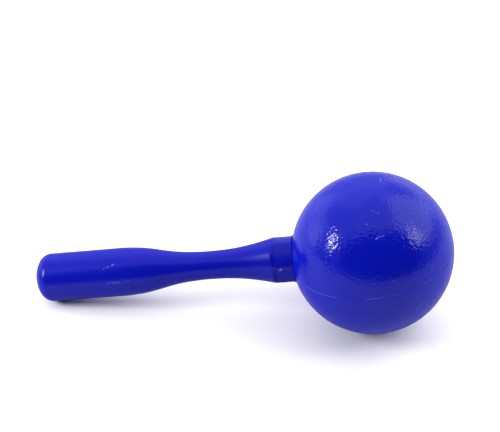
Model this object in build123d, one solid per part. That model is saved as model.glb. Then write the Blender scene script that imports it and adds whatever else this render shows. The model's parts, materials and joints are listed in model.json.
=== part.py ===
from build123d import *
import os
from math import asin, atan2, cos, degrees, hypot, pi, radians, sin, sqrt

# A ball-headed shaker (maraca), lying on a table on its head and on the end of its handle.
#
# Everything but the pellets is drawn in the shaker's own frame: the origin is the centre of the
# head, +X runs along the handle to its butt end, and +Y is level. A "station" is a distance
# along that +X, and a "roll" is an angle about it. lie_down() then lays the finished piece on
# the table, where +X points from the butt to the head and +Z is up.

# Head: a hollow ball made of two welded half shells (mm)
HEAD_R = 37.5
HEAD_WALL = 2.2
SEAM_LIP_THICK = 1.0
SEAM_LIP_HIGH = 1.6
SEAM_LIP_SLACK = 0.05
SEAM_BEAD_HIGH = 0.08
SEAM_BEAD_WIDE = 0.6
SEAM_ROLL = 4.3

# Neck: the hole through the seam that holds the spigot of the handle (mm)
SEAT_STATION = 36.0
NECK_STATION = 31.0
NECK_R = 12.0
SPIGOT_R = 7.0
SPIGOT_SLACK = 0.05
NECK_SLACK = 0.1

# Handle: one hollow blow-moulded piece (mm)
HANDLE_WALL = 2.0
FLANGE_R = 9.6
FLANGE_THICK = 2.6
WASHER_THICK = 0.6
COLLAR_R = 11.1
COLLAR_END = 44.2
FLAT_END = 45.2
FLAT_RUN_OUT = 55.0
FLAT_COUNT = 6
FLAT_ROLL = 48.6
FLARE_STATION = 50.5
FLARE_R = 9.6
FLARE_SLOPE = 0.24
NARROW_STATION = 59.0
NARROW_R = 7.95
WAIST_STATION = 77.5
WAIST_R = 6.7
SWELL_STATION = 97.0
SWELL_R = 8.5
PALM_STATION = 104.5
PALM_R = 10.1
GRIP_START = 121.0
GRIP_R = 11.6
BUTT_STATION = 162.6
BUTT_DOME_R = 16.0
BUTT_CORNER_R = 6.0
VENT_R = 1.25

# Pellets: steel shot in hexagonal rings round the lowest point of the chamber (mm)
PELLET_R = 2.5
PELLET_GAP = 0.3
PELLET_WALL_GAP = 0.2
PELLET_RINGS = 2

# Worked out from the sizes above
CHAMBER_R = HEAD_R - HEAD_WALL
FLAT_DISTANCE = COLLAR_R * cos(pi / FLAT_COUNT)
DOME_STATION = BUTT_STATION - BUTT_DOME_R
CORNER_RISE = GRIP_R - BUTT_CORNER_R
CORNER_STATION = DOME_STATION + sqrt((BUTT_DOME_R - BUTT_CORNER_R) ** 2 - CORNER_RISE**2)

# The head touches the table under its centre, and the handle touches it at the butt's corner.
TILT = degrees(
    asin((HEAD_R - BUTT_CORNER_R) / hypot(CORNER_STATION, CORNER_RISE))
    - atan2(CORNER_RISE, CORNER_STATION)
)

# The butt's dome is the far end in -X, and the head is the far end in +X.
BUTT_REACH = DOME_STATION * cos(radians(TILT)) + BUTT_DOME_R
HEAD_X = (BUTT_REACH - HEAD_R) / 2


def lie_down(piece):
    """Lays a piece drawn in the shaker's own frame on the table."""
    along = (-cos(radians(TILT)), 0, -sin(radians(TILT)))
    up = (-sin(radians(TILT)), 0, cos(radians(TILT)))
    return Plane(origin=(HEAD_X, 0, HEAD_R), x_dir=along, z_dir=up).location * piece


def write_node(name, piece):
    """Writes one sub-part, under its node's name."""
    piece.label = name
    export_step(piece, os.path.join("parts", f"{name}.step"))


def rod(radius, start, end):
    """A round rod along the handle, between two stations."""
    middle = Pos((start + end) / 2, 0, 0)
    return middle * Rot(0, 90, 0) * Cylinder(radius, end - start)


def half_space(side):
    """Everything above the head's seam (side 1) or below it (side -1)."""
    size = 3 * HEAD_R
    return Pos(0, 0, side * size / 2) * Box(size, size, size)


def whole_head():
    """The hollow ball with its neck, before it is parted at the seam."""
    ball = Sphere(HEAD_R)
    neck = ball & rod(NECK_R, NECK_STATION, HEAD_R)
    head = ball - Sphere(CHAMBER_R) + neck + seam_bead()
    head -= rod(2 * NECK_R, SEAT_STATION, 2 * HEAD_R)
    return head - rod(SPIGOT_R + SPIGOT_SLACK, 0, HEAD_R)


def seam_bead():
    """The fine bead of the weld, which runs round the outside of the ball at the seam."""
    outline = Polyline(
        (HEAD_R + SEAM_BEAD_HIGH, 0),
        (HEAD_R - SEAM_BEAD_HIGH, SEAM_BEAD_WIDE / 2),
        (HEAD_R - SEAM_BEAD_HIGH, -SEAM_BEAD_WIDE / 2),
        close=True,
    )
    return revolve(Plane.XZ * make_face(outline), Axis.Z)


def seam_lip(slack):
    """The lip inside the wall of the lower half that locates the upper half."""
    lip = Sphere(CHAMBER_R + SEAM_LIP_THICK + slack) - Sphere(CHAMBER_R)
    high = SEAM_LIP_HIGH + slack
    lip &= Pos(0, 0, high / 2) * Box(3 * HEAD_R, 3 * HEAD_R, high)
    return lip - rod(NECK_R + SEAM_LIP_THICK - slack, 0, HEAD_R)


def head_upper_shell():
    """The upper half of the head, rebated for the lip."""
    return (whole_head() & half_space(1)) - seam_lip(SEAM_LIP_SLACK)


def head_lower_shell():
    """The lower half of the head, with the lip standing on it."""
    return (whole_head() & half_space(-1)) + seam_lip(0)


def butt_curves(inset):
    """The corner and the dome that close the grip, moved inwards by inset."""
    corner_r = BUTT_CORNER_R - inset
    dome_r = BUTT_DOME_R - inset
    slope = atan2(CORNER_RISE, CORNER_STATION - DOME_STATION)
    joint = (DOME_STATION + dome_r * cos(slope), dome_r * sin(slope))
    grip_end = (CORNER_STATION, GRIP_R - inset)
    tip = (DOME_STATION + dome_r, 0)
    corner_middle = (
        CORNER_STATION + corner_r * cos((slope + pi / 2) / 2),
        CORNER_RISE + corner_r * sin((slope + pi / 2) / 2),
    )
    dome_middle = (
        DOME_STATION + dome_r * cos(slope / 2),
        dome_r * sin(slope / 2),
    )
    corner = ThreePointArc(grip_end, corner_middle, joint)
    dome = ThreePointArc(joint, dome_middle, tip)
    return [corner, dome]


def waisted_curve(start, inset):
    """The curve from its starting points over the waist to the grip, moved inwards by inset."""
    return Spline(
        *start,
        (NARROW_STATION, NARROW_R - inset),
        (WAIST_STATION, WAIST_R - inset),
        (SWELL_STATION, SWELL_R - inset),
        (PALM_STATION, PALM_R - inset),
        (GRIP_START, GRIP_R - inset),
        tangents=[(1, -FLARE_SLOPE), (1, 0)],
    )


def turned(curves):
    """A solid of revolution about the handle's axis, from an open outline above it."""
    outline = Curve() + curves
    closing = Line(outline @ 1, outline @ 0)
    return revolve(make_face([*curves, closing]), Axis.X)


def handle_outside():
    """The handle as a solid, from the flange in the head to the butt."""
    flange_start = NECK_STATION - NECK_SLACK - FLANGE_THICK
    flange_end = NECK_STATION - NECK_SLACK
    stub = Polyline(
        (flange_start, 0),
        (flange_start, FLANGE_R),
        (flange_end, FLANGE_R),
        (flange_end, SPIGOT_R),
        (SEAT_STATION, SPIGOT_R),
        (SEAT_STATION, COLLAR_R),
        (COLLAR_END, COLLAR_R),
    )
    waist = waisted_curve([(COLLAR_END, COLLAR_R), (FLARE_STATION, FLARE_R)], 0)
    grip = Line((GRIP_START, GRIP_R), (CORNER_STATION, GRIP_R))
    return turned([stub, waist, grip, *butt_curves(0)])


def handle_cavity():
    """The hollow of the handle, which follows the outside at the wall's thickness."""
    start = NECK_STATION - NECK_SLACK - FLANGE_THICK + HANDLE_WALL
    stub_r = SPIGOT_R - HANDLE_WALL
    collar_r = FLAT_DISTANCE - HANDLE_WALL
    collar_start = SEAT_STATION + HANDLE_WALL
    throat = Polyline(
        (start, 0),
        (start, stub_r),
        (collar_start, stub_r),
        (collar_start + collar_r - stub_r, collar_r),
        (FLARE_STATION, collar_r),
    )
    waist = waisted_curve([(FLARE_STATION, collar_r)], HANDLE_WALL)
    grip_r = GRIP_R - HANDLE_WALL
    grip = Line((GRIP_START, grip_r), (CORNER_STATION, grip_r))
    return turned([throat, waist, grip, *butt_curves(HANDLE_WALL)])


def collar_flat(roll):
    """The waste that one flat of the collar removes, from the round washer to its sloped run-out."""
    start = SEAT_STATION + WASHER_THICK
    high = COLLAR_R
    run = high / sin(radians(FLAT_RUN_OUT)) * cos(radians(FLAT_RUN_OUT))
    outline = Polyline(
        (start, FLAT_DISTANCE),
        (FLAT_END, FLAT_DISTANCE),
        (FLAT_END + run, FLAT_DISTANCE + high),
        (start, FLAT_DISTANCE + high),
        close=True,
    )
    waste = extrude(make_face(Plane.XY * outline), COLLAR_R, both=True)
    return Rot(roll, 0, 0) * waste


def handle():
    """The handle: flange, spigot, hexagonal collar, waist, grip and butt."""
    piece = handle_outside()
    for index in range(FLAT_COUNT):
        piece -= collar_flat(FLAT_ROLL + index * 360 / FLAT_COUNT)
    piece -= handle_cavity()
    return piece - rod(VENT_R, 0, SEAT_STATION)


def pellet_places():
    """The centres of the pellets, in hexagonal rings, about the head's centre."""
    pitch = 2 * PELLET_R + PELLET_GAP
    reach = range(-PELLET_RINGS, PELLET_RINGS + 1)
    places = []
    for row in reach:
        for column in reach:
            if abs(row + column) <= PELLET_RINGS:
                places.append((pitch * (column + row / 2), pitch * row * sqrt(3) / 2))
    return places


def pellet(x, y):
    """One pellet, lying on the wall of the chamber."""
    drop = sqrt((CHAMBER_R - PELLET_R - PELLET_WALL_GAP) ** 2 - x**2 - y**2)
    return Pos(HEAD_X + x, y, HEAD_R - drop) * Sphere(PELLET_R)


os.makedirs("parts", exist_ok=True)
write_node("head_upper_shell", lie_down(Rot(SEAM_ROLL, 0, 0) * head_upper_shell()))
write_node("head_lower_shell", lie_down(Rot(SEAM_ROLL, 0, 0) * head_lower_shell()))
write_node("handle", lie_down(handle()))
for number, place in enumerate(pellet_places(), start=1):
    write_node(f"pellet_{number:02d}", pellet(*place))
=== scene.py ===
import json
from math import atan2, cos, degrees, pi, radians, sin, tan

import bpy
import numpy as np
from mathutils import Matrix, Vector


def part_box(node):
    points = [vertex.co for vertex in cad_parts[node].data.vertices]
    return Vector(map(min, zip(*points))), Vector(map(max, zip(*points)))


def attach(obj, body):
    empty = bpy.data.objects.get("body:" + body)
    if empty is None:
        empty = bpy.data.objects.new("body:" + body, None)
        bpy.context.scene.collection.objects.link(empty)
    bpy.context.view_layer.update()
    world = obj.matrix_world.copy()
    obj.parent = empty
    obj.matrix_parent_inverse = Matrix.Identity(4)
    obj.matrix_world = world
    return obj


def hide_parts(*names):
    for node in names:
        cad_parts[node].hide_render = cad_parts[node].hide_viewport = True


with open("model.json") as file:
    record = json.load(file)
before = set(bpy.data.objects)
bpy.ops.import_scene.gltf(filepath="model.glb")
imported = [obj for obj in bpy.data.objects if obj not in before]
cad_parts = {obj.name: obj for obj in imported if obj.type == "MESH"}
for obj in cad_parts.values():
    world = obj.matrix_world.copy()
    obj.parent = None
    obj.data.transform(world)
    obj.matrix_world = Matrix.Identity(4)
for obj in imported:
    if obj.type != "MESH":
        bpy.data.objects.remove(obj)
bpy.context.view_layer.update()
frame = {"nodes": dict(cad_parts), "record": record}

# A ball-headed shaker (maraca), lying on a table on its head and on the end of its handle.
#
# A point of the shaker's own frame is (station, across, up) in mm. A station is a distance from
# the head's centre along the handle, towards the butt. Across is level, towards the camera's
# side. A roll is an angle about the handle, from across towards up.

# The shaker's own frame, from the CAD (m and radians)
HEAD_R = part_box("head_upper_shell")[1].z / 2
HEAD_CENTRE = Vector((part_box("head_lower_shell")[1].x - HEAD_R, 0, HEAD_R))
HANDLE_ALONG = Vector(next(m["axis"] for m in frame["record"]["mounts"] if m["name"] == "grip"))
ACROSS = Vector((0, -1, 0))
HANDLE_UP = HANDLE_ALONG.cross(ACROSS)
HANDLE_TILT = atan2(-HANDLE_ALONG.z, -HANDLE_ALONG.x)

# The handle, as in the CAD (mm and degrees)
FLANGE_START, FLANGE_END, FLANGE_R = 28.3, 30.9, 9.6
SPIGOT_R, SEAT_STATION = 7.0, 36.0
COLLAR_START, COLLAR_END, COLLAR_R = 36.6, 44.2, 11.1
FLAT_COUNT, FLAT_ROLL = 6, 48.6
NARROW_STATION = 59.0
GRIP_START, GRIP_R = 121.0, 11.6
WAIST_STATIONS = (COLLAR_END, 50.5, NARROW_STATION, 77.5, 97.0, 104.5, GRIP_START)
WAIST_RADII = (COLLAR_R, 9.6, 7.95, 6.7, 8.5, 10.1, GRIP_R)
FLARE_SLOPE = -0.24
BUTT_STATION, DOME_R, CORNER_R = 162.6, 16.0, 6.0

# What the moulding does to the handle's edges (mm and degrees): softer than in the CAD
FLANGE_EDGE_R, SEAT_EDGE_R, WASHER_EDGE_R, FLAT_EDGE_R = 0.4, 0.08, 0.1, 0.12
FLAT_END, FLAT_RUN_OUT = 44.6, 38.0
FLAT_CROWN_R = 35.0
FLAT_BLEND = 0.6
RIDGE_BLEND = 0.15

# Fillets in the outline's inner corners, as (along, outwards) from the corner (mm)
FLANGE_FILLET = [(0, 0.6), (0.2, 0.1), (0.6, 0)]
SEAT_FILLET = [(-0.4, 0), (0, 0.05)]

# How finely the handle is drawn (counts, mm and degrees). A face has a ring just inside its
# rounded edge, the flats' edge starts just past the washer's, and the dome's last ring is short
# of its tip by that angle.
HANDLE_SIDES = 288
FLANGE_FACE_R, SEAT_FACE_R = FLANGE_R - 0.6, COLLAR_R - 0.3
FLANGE_EDGE_RINGS, SEAT_EDGE_RINGS, WASHER_EDGE_RINGS, FLAT_EDGE_RINGS = 5, 4, 3, 4
FLAT_EDGE_GAP = 0.02
COLLAR_RING_STEP, WAIST_RING_STEP, GRIP_RING_STEP = 0.35, 0.5, 1.5
CORNER_RINGS, DOME_RINGS = 16, 22
TIP_ANGLE = 2
SHARP_ANGLE = 50

# Camera: its angles in degrees, its lens in mm, and its place from the head's centre in m
CAMERA_TURN, CAMERA_PITCH, CAMERA_ROLL = 6.67, 35.69, 0.74
CAMERA_LENS, CAMERA_SENSOR = 92.76, 36
CAMERA_OFFSET = Vector((-0.05615, -0.4725, 0.3611))
CAMERA_CLIP = 0.01

# The white tent, and its dark opening on the camera's side (degrees, and parts of a direction)
OPENING_AZIMUTH, OPENING_ELEVATION = 8, 27
OPENING_HALF_WIDTH, OPENING_HALF_HEIGHT = 0.88, 0.62
OPENING_EDGE = (0.85, 1.15)
OPENING_BACK = (0.0, -0.05)
OPENING_LIGHT, HORIZON_LIGHT, TENT_LIGHT, BACKDROP_LIGHT = 0.0, 0.34, 1.3, 1.0
TENT_SHOULDER = 0.75

# Lamps: name, azimuth, elevation, distance (m), size (m), radiance and roll
PANELS = [
    ("panel_left", -76, 27, 0.7, (0.035, 0.23), 145, 35),
    ("panel_right", 76, 33, 0.8, (0.22, 0.26), 8.5, 0),
    ("panel_key", 108, 40, 0.9, (0.9, 0.9), 2.6, 0),
    ("panel_top", 0, 88, 1.0, (1.0, 1.0), 0.4, 0),
    ("rear_left", -126, 14, 1.2, (1.2, 0.6), 1.3, 0),
    ("rear_high", -165, 45, 1.0, (1.0, 0.7), 0.8, 0),
    ("side_left", -104, 10, 1.0, (0.45, 0.35), 1.8, 0),
    ("rear_right", 148, 6, 1.2, (0.9, 0.5), 1.2, 0),
]

FLOOR_HALF = 3.0
FLOOR_COLOUR = (0.80, 0.78, 0.80, 1)
FLOOR_ROUGHNESS = 0.7

# Blue plastic: its colours are linear, and the sizes of its patterns are in m
HEAD_BLUE = (0.002, 0.005, 0.29, 1)
HANDLE_BLUE = (0.002, 0.004, 0.262, 1)
# Paler blue of the scuffs, also used for a painted glint on the collar and a painted highlight along
# the weld line
WORN_AND_GLINT_BLUE = (0.12, 0.15, 0.55, 1)
BODY_ROUGHNESS = 0.6
COAT_IOR = 1.5
HEAD_COAT, HEAD_COAT_ROUGHNESS = 0.32, 0.13
HANDLE_COAT, HANDLE_COAT_ROUGHNESS = 0.27, 0.23
DYE_SIZE, DYE_LIFT = 0.025, 1.1
WEAR_SIZE, WEAR_RANGE = 0.0012, (0.35, 0.6)

# Grain: its size and depth (m), and its scale along the handle, where under 1 draws it out.
# It keeps that share of its depth below the low height (m), and all of it above the full one.
HEAD_GRAIN = (0.0013, 0.00018, 1.0)
HANDLE_GRAIN = (0.003, 0.00005, 0.1)
GRAIN_LOW, GRAIN_FULL, GRAIN_SHARE = 0.040, 0.056, 0.35

# Weld line of the head, painted paler: partly the flash's own colour, partly a painted highlight
# (degrees, m and share)
SEAM_ROLL = 4.3
SEAM_FADE = (0.0003, 0.0001)
SEAM_SIZE, SEAM_RANGE = 0.012, (0.4, 0.65)
SEAM_STRENGTH = 0.35

# Steel shot: its two greys, the sizes and depth of its marks (m), and its range of roughness
STEEL_GREYS = ((0.50, 0.51, 0.53, 1), (0.60, 0.61, 0.62, 1))
STEEL_MARK, STEEL_PATCH, STEEL_DEPTH = 0.0006, 0.002, 0.00001
STEEL_ROUGHNESS = (0.14, 0.34)

# Scuffs of the head: from one point of the shaker's own frame to another, width (mm) and strength
HEAD_SCUFFS = [
    ((-8.0, -7.3, 35.9), (-8.2, -2.4, 36.5), 0.5, 0.5),
    ((-5.8, 25.8, 26.5), (-7.5, 25.0, 26.8), 0.5, 0.6),
    ((-7.5, 25.0, 26.8), (-9.1, 24.4, 27.0), 0.4, 0.55),
    ((-2.1, 20.9, 31.1), (-2.3, 20.7, 31.2), 0.45, 0.6),
    ((-4.2, 15.0, 34.1), (-7.6, 15.9, 33.1), 0.5, 0.25),
    ((-1.9, 36.0, 10.1), (-12.6, 34.1, 9.2), 0.4, 0.25),
    ((20.4, -22.0, 23.9), (23.1, -18.6, 23.0), 0.5, 0.6),
    ((-25.0, -18.1, 21.4), (-26.3, -19.5, 18.5), 0.5, 0.5),
    ((9.0, -30.5, -19.9), (14.2, -29.0, -19.0), 0.6, 0.5),
]

# Scuffs of the handle, and one painted glint on the collar: the same, but each point is a station, a
# roll and a distance from the axis
HANDLE_SCUFFS_AND_GLINT = [
    ((125.8, 45.7, 11.6), (124.6, 48.8, 11.6), 0.5, 0.4),
    ((123.6, 50.8, 11.6), (120.7, 55.7, 11.6), 0.6, 0.45),
    ((124.4, 11.9, 11.6), (118.0, 12.5, 11.5), 0.6, 0.5),
    ((117.5, 12.4, 11.5), (114.1, 13.3, 11.4), 0.5, 0.35),
    ((116.8, 19.7, 11.5), (116.4, 19.9, 11.5), 0.5, 0.4),
    ((159.0, 10.6, 9.5), (152.7, 12.2, 11.6), 0.4, 0.3),
    # Not a scuff: a painted glint on the collar, near a vertex of its flats
    ((42.0, 10.4, 10.4), (41.6, 11.4, 10.5), 1.0, 0.9),
    ((131.0, 215.0, 11.6), (124.0, 219.0, 11.6), 0.5, 0.4),
    ((108.0, 160.0, 10.7), (104.0, 164.0, 10.0), 0.5, 0.5),
]


def link(obj):
    bpy.context.scene.collection.objects.link(obj)
    return obj


def on_handle(station, roll, radius):
    """A point of the shaker's own frame, from its station, roll and distance from the axis."""
    return (station, radius * cos(radians(roll)), radius * sin(radians(roll)))


def place(point):
    """A point of the shaker's own frame (mm) in the row frame (m)."""
    x, y, z = point
    return HEAD_CENTRE + (HANDLE_ALONG * x + ACROSS * y + HANDLE_UP * z) / 1000


def turned(vector):
    """A direction given square to the camera, turned about the vertical into the row frame."""
    return Matrix.Rotation(radians(CAMERA_TURN), 3, "Z") @ Vector(vector)


def towards(azimuth, elevation):
    """A unit direction: azimuth 0 is the camera's side, and it grows towards the head's side."""
    a, e = radians(azimuth), radians(elevation)
    return turned((sin(a) * cos(e), -cos(a) * cos(e), sin(e)))


def arc(centre, radius, start, end, count):
    """Points on an arc in the plane of station and radius, its ends included."""
    angles = np.radians(np.linspace(start, end, count))
    return [(centre[0] + radius * np.cos(a), centre[1] + radius * np.sin(a)) for a in angles]


def edge_start(station, radius, size, count):
    """The rounded edge of a face that looks towards the head."""
    return arc((station + size, radius - size), size, 180, 90, count)


def edge_end(station, radius, size, count):
    """The rounded edge of a face that looks towards the butt."""
    return arc((station - size, radius - size), size, 90, 0, count)


def fillet(station, radius, offsets):
    """The points of a fillet in the inner corner at that station and radius."""
    return [(station + along, radius + outwards) for along, outwards in offsets]


def stub_profile():
    """(station, radius) of the round part beside the head: flange, spigot and washer."""
    points = [(FLANGE_START, FLANGE_FACE_R)]
    points += edge_start(FLANGE_START, FLANGE_R, FLANGE_EDGE_R, FLANGE_EDGE_RINGS)
    points += edge_end(FLANGE_END, FLANGE_R, FLANGE_EDGE_R, FLANGE_EDGE_RINGS)
    points += fillet(FLANGE_END, SPIGOT_R, FLANGE_FILLET)
    points += fillet(SEAT_STATION, SPIGOT_R, SEAT_FILLET)
    points += [(SEAT_STATION, SEAT_FACE_R)]
    points += edge_start(SEAT_STATION, COLLAR_R, SEAT_EDGE_R, SEAT_EDGE_RINGS)
    return points + edge_end(COLLAR_START, COLLAR_R, WASHER_EDGE_R, WASHER_EDGE_RINGS)


def waist_profile():
    """(station, radius) along the waist: a cubic spline, with its slopes given at both ends."""
    s, r = np.array(WAIST_STATIONS), np.array(WAIST_RADII)
    h, d = np.diff(s), np.diff(r) / np.diff(s)
    count = len(s)
    rows, right = np.zeros((count, count)), np.zeros(count)
    rows[0, 0] = rows[-1, -1] = 1
    right[0], right[-1] = FLARE_SLOPE, 0
    for i in range(1, count - 1):
        rows[i, i - 1 : i + 2] = h[i], 2 * (h[i - 1] + h[i]), h[i - 1]
        right[i] = 3 * (h[i] * d[i - 1] + h[i - 1] * d[i])
    slope = np.linalg.solve(rows, right)
    at = np.arange(s[0], s[-1], WAIST_RING_STEP)
    k = np.clip(np.searchsorted(s, at, side="right") - 1, 0, count - 2)
    t = (at - s[k]) / h[k]
    start = (1 + 2 * t) * (1 - t) ** 2 * r[k] + t * (1 - t) ** 2 * h[k] * slope[k]
    end = t**2 * (3 - 2 * t) * r[k + 1] + t**2 * (t - 1) * h[k] * slope[k + 1]
    return list(zip(at, start + end))


def butt_profile():
    """(station, radius) of the grip and the butt, up to just short of the dome's tip."""
    dome = BUTT_STATION - DOME_R
    rise = GRIP_R - CORNER_R
    corner = dome + ((DOME_R - CORNER_R) ** 2 - rise**2) ** 0.5
    slope = degrees(atan2(rise, corner - dome))
    grip = [(station, GRIP_R) for station in np.arange(GRIP_START, corner, GRIP_RING_STEP)]
    rounding = arc((corner, rise), CORNER_R, 90, slope, CORNER_RINGS)
    return grip + rounding[:-1] + arc((dome, 0), DOME_R, slope, TIP_ANGLE, DOME_RINGS)


def flat_edge_rings():
    """The rings that round the flats' edge at the washer."""
    rings = []
    for turn in np.radians(np.linspace(0, 90, FLAT_EDGE_RINGS)):
        station = COLLAR_START + FLAT_EDGE_GAP + FLAT_EDGE_R * (1 - cos(turn))
        rings.append((station, COLLAR_R, True, FLAT_EDGE_R * (1 - sin(turn))))
    return rings


def handle_rings():
    """The handle's rings: station, radius, whether the flats cut it, and how far it is drawn in."""
    rings = [(station, radius, False, 0) for station, radius in stub_profile()]
    rings += flat_edge_rings()
    for station in np.arange(COLLAR_START + 2 * COLLAR_RING_STEP, COLLAR_END, COLLAR_RING_STEP):
        rings.append((station, COLLAR_R, True, 0))
    rings += [(station, radius, station < NARROW_STATION, 0) for station, radius in waist_profile()]
    return rings + [(station, radius, False, 0) for station, radius in butt_profile()]


def soft_min(a, b, blend):
    """The lesser of two, with their crossing rounded over a width of blend."""
    near = np.maximum(blend - np.abs(a - b), 0) / blend
    return np.minimum(a, b) - near**2 * blend / 4


def flat_radius(station, roll):
    """How far out the collar's crowned flats are, at that station and those rolls."""
    crown = (COLLAR_R * sin(pi / FLAT_COUNT)) ** 2 / (2 * FLAT_CROWN_R)
    run_out = max(station - FLAT_END, 0) * tan(radians(FLAT_RUN_OUT))
    distance = COLLAR_R * cos(pi / FLAT_COUNT) + crown + run_out
    step = 2 * pi / FLAT_COUNT
    off = (roll - radians(FLAT_ROLL) + step / 2) % step - step / 2

    def crowned(angle):
        drop = (COLLAR_R * np.sin(angle)) ** 2 / (2 * FLAT_CROWN_R)
        return (distance - drop) / np.cos(angle)

    return soft_min(crowned(off), crowned(step - np.abs(off)), RIDGE_BLEND)


def ring_points(station, radius, flats, rounding):
    """The points of one ring of the handle."""
    rolls = np.linspace(0, 2 * pi, HANDLE_SIDES, endpoint=False)
    around = np.full(HANDLE_SIDES, float(radius))
    if flats:
        around = soft_min(around, flat_radius(station, rolls), FLAT_BLEND)
    return [(station, r * cos(a), r * sin(a)) for r, a in zip(around - rounding, rolls)]


def handle_mesh():
    """The handle as one closed mesh: the rings of a lathe, cut by the collar's flats."""
    points = []
    for ring in handle_rings():
        points += ring_points(*ring)
    last = len(points) - HANDLE_SIDES
    flange_middle, butt_tip = len(points), len(points) + 1
    steps = [(i, (i + 1) % HANDLE_SIDES) for i in range(HANDLE_SIDES)]
    faces = []
    for low in range(0, last, HANDLE_SIDES):
        high = low + HANDLE_SIDES
        faces += [(low + i, low + j, high + j, high + i) for i, j in steps]
    for i, j in steps:
        faces.append((flange_middle, j, i))
        faces.append((butt_tip, last + i, last + j))
    points += [(FLANGE_START, 0, 0), (BUTT_STATION, 0, 0)]
    mesh = bpy.data.meshes.new("handle_moulding")
    mesh.from_pydata([place(point) for point in points], [], faces)
    mesh.validate()
    mesh.shade_smooth()
    mesh.set_sharp_from_angle(angle=radians(SHARP_ANGLE))
    return mesh


def add_handle(material):
    handle = link(bpy.data.objects.new("handle_moulding", handle_mesh()))
    handle.data.materials.append(material)
    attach(handle, "maraca")
    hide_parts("handle")


def node(tree, kind, inputs=None, **settings):
    """Adds a shader node; an input is a number, a colour or another node's output."""
    made = tree.nodes.new("ShaderNode" + kind)
    for key, value in settings.items():
        setattr(made, key, value)
    for key, value in (inputs or {}).items():
        if isinstance(value, bpy.types.NodeSocket):
            tree.links.new(value, made.inputs[key])
        else:
            made.inputs[key].default_value = value
    return made


def calculate(tree, operation, *values, clamp=False):
    made = node(tree, "Math", dict(enumerate(values)), operation=operation, use_clamp=clamp)
    return made.outputs[0]


def vector_math(tree, operation, inputs, output="Vector"):
    return node(tree, "VectorMath", inputs, operation=operation).outputs[output]


def dot(tree, vector, fixed):
    return vector_math(tree, "DOT_PRODUCT", {0: vector, 1: fixed}, "Value")


def ramp(tree, value, low, high):
    """0 at low, 1 at high, and smooth between them."""
    made = node(tree, "MapRange", {0: value, 1: low, 2: high}, interpolation_type="SMOOTHSTEP")
    return made.outputs[0]


def spread(tree, share, low, high):
    """From low to high as the share goes from 0 to 1."""
    return node(tree, "MapRange", {0: share, 3: low, 4: high}).outputs[0]


def mix(tree, share, first, second):
    """From the first colour to the second as the share goes from 0 to 1."""
    return node(tree, "Mix", {0: share, 6: first, 7: second}, data_type="RGBA").outputs[2]


def noise(tree, vector, size, detail):
    """Smooth noise from 0 to 1, with lumps of that size in metres."""
    return node(tree, "TexNoise", {"Vector": vector, "Scale": 1 / size, "Detail": detail}).outputs[0]


def new_material(name):
    """A material and its shader."""
    material = bpy.data.materials.new(name)
    material.use_nodes = True
    return material, material.node_tree.nodes["Principled BSDF"]


def scuff_and_glint_mask(tree, where, start, end, width):
    """1 along the line between two points of the surface, fading to 0 at that distance (mm)."""
    start, end = place(start), place(end)
    line = end - start
    offset = vector_math(tree, "SUBTRACT", {0: where, 1: start})
    along = calculate(tree, "DIVIDE", dot(tree, offset, line), line.length_squared, clamp=True)
    reached = vector_math(tree, "SCALE", {0: line, "Scale": along})
    gap = vector_math(tree, "DISTANCE", {0: offset, 1: reached}, "Value")
    return ramp(tree, gap, width / 1000, width / 3000)


def seam_flash_and_highlight_mask(tree, where):
    """The weld line, painted paler: partly the flash's own colour, partly a painted highlight;
    stronger and weaker along its length.
    """
    normal = HANDLE_UP * cos(radians(SEAM_ROLL)) - ACROSS * sin(radians(SEAM_ROLL))
    height = calculate(tree, "SUBTRACT", dot(tree, where, normal), HEAD_CENTRE.dot(normal))
    line = ramp(tree, calculate(tree, "ABSOLUTE", height), *SEAM_FADE)
    strong = ramp(tree, noise(tree, where, SEAM_SIZE, detail=1.0), *SEAM_RANGE)
    return calculate(tree, "MULTIPLY", line, calculate(tree, "MULTIPLY", strong, SEAM_STRENGTH))


def dye_with_scuffs_and_glints(tree, where, blue, scuffs_and_glints):
    """The plastic's colour: the dye is a little uneven, and scuff marks are paler; a mark can also be
    a painted glint.
    """
    paler = tuple(DYE_LIFT * value for value in blue[:3]) + (1,)
    colour = mix(tree, noise(tree, where, DYE_SIZE, detail=2.0), blue, paler)
    patchy = ramp(tree, noise(tree, where, WEAR_SIZE, detail=1.0), *WEAR_RANGE)
    for start, end, width, strength in scuffs_and_glints:
        wear_and_glint = calculate(tree, "MULTIPLY", scuff_and_glint_mask(tree, where, start, end, width), patchy)
        # Each mark mixes in the paler blue: scuffs, and on the collar a painted glint
        colour = mix(tree, calculate(tree, "MULTIPLY", wear_and_glint, strength), colour, WORN_AND_GLINT_BLUE)
    return colour


def grain_bump(tree, where, size, depth, stretch):
    """The relief of the moulding's grain, which is fainter low down on the shaker."""
    settings = {"Vector": where, "Rotation": (0, HANDLE_TILT, 0), "Scale": (stretch, 1, 1)}
    grain = noise(tree, node(tree, "Mapping", settings).outputs[0], size, detail=1.0)
    heights = {0: dot(tree, where, (0, 0, 1)), 1: GRAIN_LOW, 2: GRAIN_FULL, 3: GRAIN_SHARE}
    kept = node(tree, "MapRange", heights).outputs[0]
    relief = calculate(tree, "MULTIPLY", grain, kept)
    return node(tree, "Bump", {"Height": relief, "Strength": 1.0, "Distance": depth}).outputs[0]


def set_plastic(tree, shader, coat, roughness, colour, bump):
    """A coloured body under a thin skin, which carries the gloss and the grain."""
    shader.inputs["Roughness"].default_value = BODY_ROUGHNESS
    shader.inputs["Specular IOR Level"].default_value = 0.0
    shader.inputs["Coat Weight"].default_value = coat
    shader.inputs["Coat Roughness"].default_value = roughness
    shader.inputs["Coat IOR"].default_value = COAT_IOR
    tree.links.new(colour, shader.inputs["Base Color"])
    tree.links.new(bump, shader.inputs["Normal"])
    tree.links.new(bump, shader.inputs["Coat Normal"])


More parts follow.
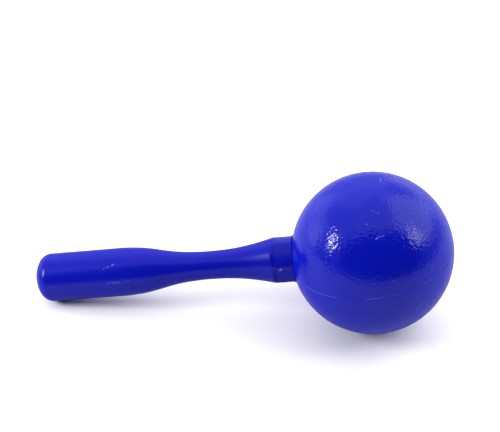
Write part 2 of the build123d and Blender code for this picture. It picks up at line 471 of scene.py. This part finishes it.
def head_plastic():
    """The head's plastic: leather grain, scuff marks, and the weld line with its painted highlight.
    """
    material, shader = new_material("head_plastic")
    tree = material.node_tree
    where = node(tree, "TexCoord").outputs["Object"]
    colour = dye_with_scuffs_and_glints(tree, where, HEAD_BLUE, HEAD_SCUFFS)
    # The weld line painted paler: partly its flash, partly a painted highlight
    colour = mix(tree, seam_flash_and_highlight_mask(tree, where), colour, WORN_AND_GLINT_BLUE)
    bump = grain_bump(tree, where, *HEAD_GRAIN)
    set_plastic(tree, shader, HEAD_COAT, HEAD_COAT_ROUGHNESS, colour, bump)
    return material


def handle_plastic():
    """The handle's plastic: scuff marks, a painted glint on the collar, and faint marks drawn out
    along the handle.
    """
    material, shader = new_material("handle_plastic")
    tree = material.node_tree
    where = node(tree, "TexCoord").outputs["Object"]
    scuffs_and_glints = []
    for start, end, width, strength in HANDLE_SCUFFS_AND_GLINT:
        scuffs_and_glints.append((on_handle(*start), on_handle(*end), width, strength))
    colour = dye_with_scuffs_and_glints(tree, where, HANDLE_BLUE, scuffs_and_glints)
    bump = grain_bump(tree, where, *HANDLE_GRAIN)
    set_plastic(tree, shader, HANDLE_COAT, HANDLE_COAT_ROUGHNESS, colour, bump)
    return material


def pellet_steel():
    """Polished steel shot with a faint tumbled texture."""
    material, shader = new_material("pellet_steel")
    tree = material.node_tree
    shader.inputs["Metallic"].default_value = 1.0
    where = node(tree, "TexCoord").outputs["Object"]
    tumbled = noise(tree, where, STEEL_MARK, detail=3.0)
    colour = mix(tree, noise(tree, where, STEEL_PATCH, detail=1.0), *STEEL_GREYS)
    tree.links.new(colour, shader.inputs["Base Color"])
    tree.links.new(spread(tree, tumbled, *STEEL_ROUGHNESS), shader.inputs["Roughness"])
    bump = node(tree, "Bump", {"Height": tumbled, "Strength": 1.0, "Distance": STEEL_DEPTH})
    tree.links.new(bump.outputs[0], shader.inputs["Normal"])
    return material


def floor_paper():
    """Plain pale paper under the shaker."""
    material, shader = new_material("floor_paper")
    shader.inputs["Base Color"].default_value = FLOOR_COLOUR
    shader.inputs["Roughness"].default_value = FLOOR_ROUGHNESS
    return material


def set_material(name, material):
    slots = frame["nodes"][name].data.materials
    slots.clear()
    slots.append(material)


def add_camera():
    data = bpy.data.cameras.new("camera")
    data.lens = CAMERA_LENS
    data.sensor_width = CAMERA_SENSOR
    data.clip_start = CAMERA_CLIP
    camera = link(bpy.data.objects.new("camera", data))
    pitch, roll = radians(CAMERA_PITCH), radians(CAMERA_ROLL)
    right = turned((1, 0, 0))
    down = turned((0, -sin(pitch), -cos(pitch)))
    ahead = turned((0, cos(pitch), -sin(pitch)))
    across = cos(roll) * right + sin(roll) * down
    upward = -(cos(roll) * down - sin(roll) * right)
    turn = Matrix((across, upward, -ahead)).transposed()
    camera.matrix_world = Matrix.Translation(HEAD_CENTRE + turned(CAMERA_OFFSET)) @ turn.to_4x4()
    bpy.context.scene.camera = camera


def add_panel(name, azimuth, elevation, distance, size, radiance, roll):
    """A rectangular lamp, turned to face the head and rolled about its own axis."""
    data = bpy.data.lights.new(name, "AREA")
    data.shape = "RECTANGLE"
    data.size, data.size_y = size
    data.energy = radiance * pi * size[0] * size[1]
    light = link(bpy.data.objects.new(name, data))
    direction = towards(azimuth, elevation)
    light.location = HEAD_CENTRE + distance * direction
    facing = (-direction).to_track_quat("-Z", "Y").to_matrix()
    light.rotation_euler = (facing @ Matrix.Rotation(radians(roll), 3, "Z")).to_euler()


def opening_mask(tree, view):
    """0 in the tent's dark opening, an oval on the camera's side, and 1 outside it."""
    across = dot(tree, view, towards(OPENING_AZIMUTH + 90, 0))
    upward = dot(tree, view, towards(OPENING_AZIMUTH + 180, 90 - OPENING_ELEVATION))
    ahead = dot(tree, view, towards(OPENING_AZIMUTH, OPENING_ELEVATION))
    wide = calculate(tree, "DIVIDE", across, OPENING_HALF_WIDTH)
    high = calculate(tree, "DIVIDE", upward, OPENING_HALF_HEIGHT)
    squares = [calculate(tree, "POWER", share, 2) for share in (wide, high)]
    outside = ramp(tree, calculate(tree, "ADD", *squares), *OPENING_EDGE)
    behind = ramp(tree, ahead, *OPENING_BACK)
    return calculate(tree, "MAXIMUM", outside, behind)


def add_tent():
    """The white tent, brightest overhead and at the back; the camera itself sees a plain backdrop."""
    world = bpy.data.worlds.new("tent")
    world.use_nodes = True
    tree = world.node_tree
    view = node(tree, "TexCoord").outputs["Generated"]
    rear = calculate(tree, "MAXIMUM", dot(tree, view, towards(180, 0)), 0)
    height = calculate(tree, "ADD", dot(tree, view, (0, 0, 1)), rear)
    roof = spread(tree, ramp(tree, height, 0.0, TENT_SHOULDER), HORIZON_LIGHT, TENT_LIGHT)
    strength = spread(tree, opening_mask(tree, view), OPENING_LIGHT, roof)
    seen = node(tree, "LightPath").outputs["Is Camera Ray"]
    strength = node(tree, "Mix", {0: seen, 2: strength, 3: BACKDROP_LIGHT}).outputs[0]
    background = tree.nodes["Background"]
    background.inputs["Color"].default_value = (1, 1, 1, 1)
    tree.links.new(strength, background.inputs["Strength"])
    bpy.context.scene.world = world


def add_floor():
    size = FLOOR_HALF
    mesh = bpy.data.meshes.new("floor")
    corners = [(-size, -size, 0), (size, -size, 0), (size, size, 0), (-size, size, 0)]
    mesh.from_pydata(corners, [], [(0, 1, 2, 3)])
    mesh.materials.append(floor_paper())
    floor = link(bpy.data.objects.new("floor", mesh))


bpy.context.scene.view_settings.view_transform = "Standard"

shell_plastic = head_plastic()
for shell in ("head_upper_shell", "head_lower_shell"):
    set_material(shell, shell_plastic)
steel = pellet_steel()
for name in frame["nodes"]:
    if name.startswith("pellet"):
        set_material(name, steel)
add_handle(handle_plastic())

add_camera()
add_tent()
for panel in PANELS:
    add_panel(*panel)
add_floor()
